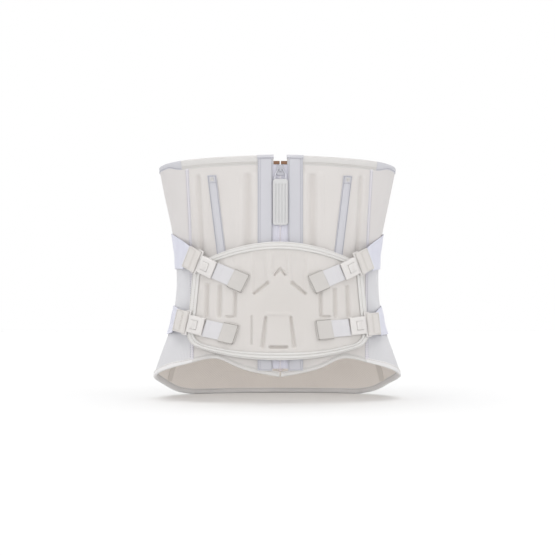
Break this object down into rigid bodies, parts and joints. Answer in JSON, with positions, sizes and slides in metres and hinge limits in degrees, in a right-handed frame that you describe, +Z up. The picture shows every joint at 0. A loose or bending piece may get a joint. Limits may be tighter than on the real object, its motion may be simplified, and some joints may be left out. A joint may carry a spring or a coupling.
{
  "type": "back brace",
  "caption": "Lumbar back brace with a full front zip, a buckled abdominal pad, elastic side straps and flat stays.",
  "frame": {"origin": "centre of the footprint, on the level of the rear hem that the brace stands on", "axes": "+Z up along the trunk, -Y towards the front zip, +X to the right of the front view"},
  "size_m": [0.3522, 0.2448, 0.338],
  "materials": {
    "ivory_fabric": "matte moulded knit",
    "side_knit": "fine grey-white knit",
    "lilac_tape": "grosgrain tape",
    "white_elastic": "woven elastic",
    "pad_foam": "fabric-faced moulded foam",
    "pad_edge_tape": "double-stitched edge tape",
    "webbing": "woven webbing",
    "ivory_plastic": "satin moulded",
    "ivory_rubber": "ribbed soft rubber",
    "zip_metal": "polished",
    "zip_plastic": "satin",
    "stay_steel": "brushed"
  },
  "bodies": {
    "brace": {"left_front_panel": "ivory_fabric", "left_upper_side_panel": "ivory_fabric", "left_lower_side_panel": "side_knit", "left_front_top_hem": "ivory_fabric", "left_front_hem": "ivory_fabric", "left_zip_band": "lilac_tape", "left_zip_tape": "lilac_tape", "left_zip_teeth": "zip_plastic", "left_zip_top_stop": "zip_metal", "left_front_stay_casing": "lilac_tape", "left_front_stay": "stay_steel", "left_outer_rear_stay": "stay_steel", "left_inner_rear_stay": "stay_steel", "right_front_panel": "ivory_fabric", "right_upper_side_panel": "ivory_fabric", "right_lower_side_panel": "side_knit", "right_front_top_hem": "ivory_fabric", "right_front_hem": "ivory_fabric", "right_zip_band": "lilac_tape", "right_zip_tape": "lilac_tape", "right_zip_teeth": "zip_plastic", "right_zip_top_stop": "zip_metal", "right_front_stay_casing": "lilac_tape", "right_front_stay": "stay_steel", "right_outer_rear_stay": "stay_steel", "right_inner_rear_stay": "stay_steel", "back_panel": "ivory_fabric", "top_binding": "lilac_tape", "rear_hem": "side_knit", "rear_support_panel": "ivory_fabric", "zip_bottom_stop": "zip_metal", "abdominal_pad": "pad_foam", "pad_binding": "pad_edge_tape", "upper_left_buckle_socket": "ivory_plastic", "upper_left_side_strap": "white_elastic", "upper_left_pad_strap": "white_elastic", "upper_right_buckle_socket": "ivory_plastic", "upper_right_side_strap": "white_elastic", "upper_right_pad_strap": "white_elastic", "lower_left_buckle_socket": "ivory_plastic", "lower_left_side_strap": "white_elastic", "lower_left_pad_strap": "white_elastic", "lower_right_buckle_socket": "ivory_plastic", "lower_right_side_strap": "white_elastic", "lower_right_pad_strap": "white_elastic"},
    "slider": {"zip_slider": "zip_metal"},
    "pull_tab": {"zip_pull_link": "zip_metal", "zip_pull_tab": "ivory_rubber"},
    "upper_left_tongue": {"upper_left_buckle_tongue": "ivory_plastic", "upper_left_webbing_tab": "webbing"},
    "upper_left_button": {"upper_left_release_button": "ivory_plastic"},
    "upper_right_tongue": {"upper_right_buckle_tongue": "ivory_plastic", "upper_right_webbing_tab": "webbing"},
    "upper_right_button": {"upper_right_release_button": "ivory_plastic"},
    "lower_left_tongue": {"lower_left_buckle_tongue": "ivory_plastic", "lower_left_webbing_tab": "webbing"},
    "lower_left_button": {"lower_left_release_button": "ivory_plastic"},
    "lower_right_tongue": {"lower_right_buckle_tongue": "ivory_plastic", "lower_right_webbing_tab": "webbing"},
    "lower_right_button": {"lower_right_release_button": "ivory_plastic"}
  },
  "joints": [
    {"name": "zip_slide", "type": "slide", "parent": "brace", "child": "slider", "axis": [0, 0, 1], "range_m": [-0.25, 0]},
    {"name": "pull_tab_swing", "type": "hinge", "parent": "slider", "child": "pull_tab", "pos_m": [0, -0.1133, 0.3115], "axis": [-1, 0, 0], "range_deg": [0, 170]},
    {"name": "upper_left_unclip", "type": "slide", "parent": "brace", "child": "upper_left_tongue", "axis": [-0.7965, 0.4325, 0.4226], "range_m": [0, 0.022]},
    {"name": "upper_left_button_press", "type": "slide", "parent": "brace", "child": "upper_left_button", "axis": [0.483, 0.8755, 0.0142], "range_m": [0, 0.0012], "stiffness_N_per_m": 500},
    {"name": "upper_right_unclip", "type": "slide", "parent": "brace", "child": "upper_right_tongue", "axis": [0.8179, 0.407, 0.4067], "range_m": [0, 0.022]},
    {"name": "upper_right_button_press", "type": "slide", "parent": "brace", "child": "upper_right_button", "axis": [-0.4498, 0.893, 0.0109], "range_m": [0, 0.0012], "stiffness_N_per_m": 500},
    {"name": "lower_left_unclip", "type": "slide", "parent": "brace", "child": "lower_left_tongue", "axis": [-0.82, 0.5335, 0.2071], "range_m": [0, 0.022]},
    {"name": "lower_left_button_press", "type": "slide", "parent": "brace", "child": "lower_left_button", "axis": [0.5275, 0.845, -0.0881], "range_m": [0, 0.0012], "stiffness_N_per_m": 500},
    {"name": "lower_right_unclip", "type": "slide", "parent": "brace", "child": "lower_right_tongue", "axis": [0.8763, 0.4739, 0.0869], "range_m": [0, 0.022]},
    {"name": "lower_right_button_press", "type": "slide", "parent": "brace", "child": "lower_right_button", "axis": [-0.4689, 0.8802, -0.073], "range_m": [0, 0.0012], "stiffness_N_per_m": 500}
  ]
}
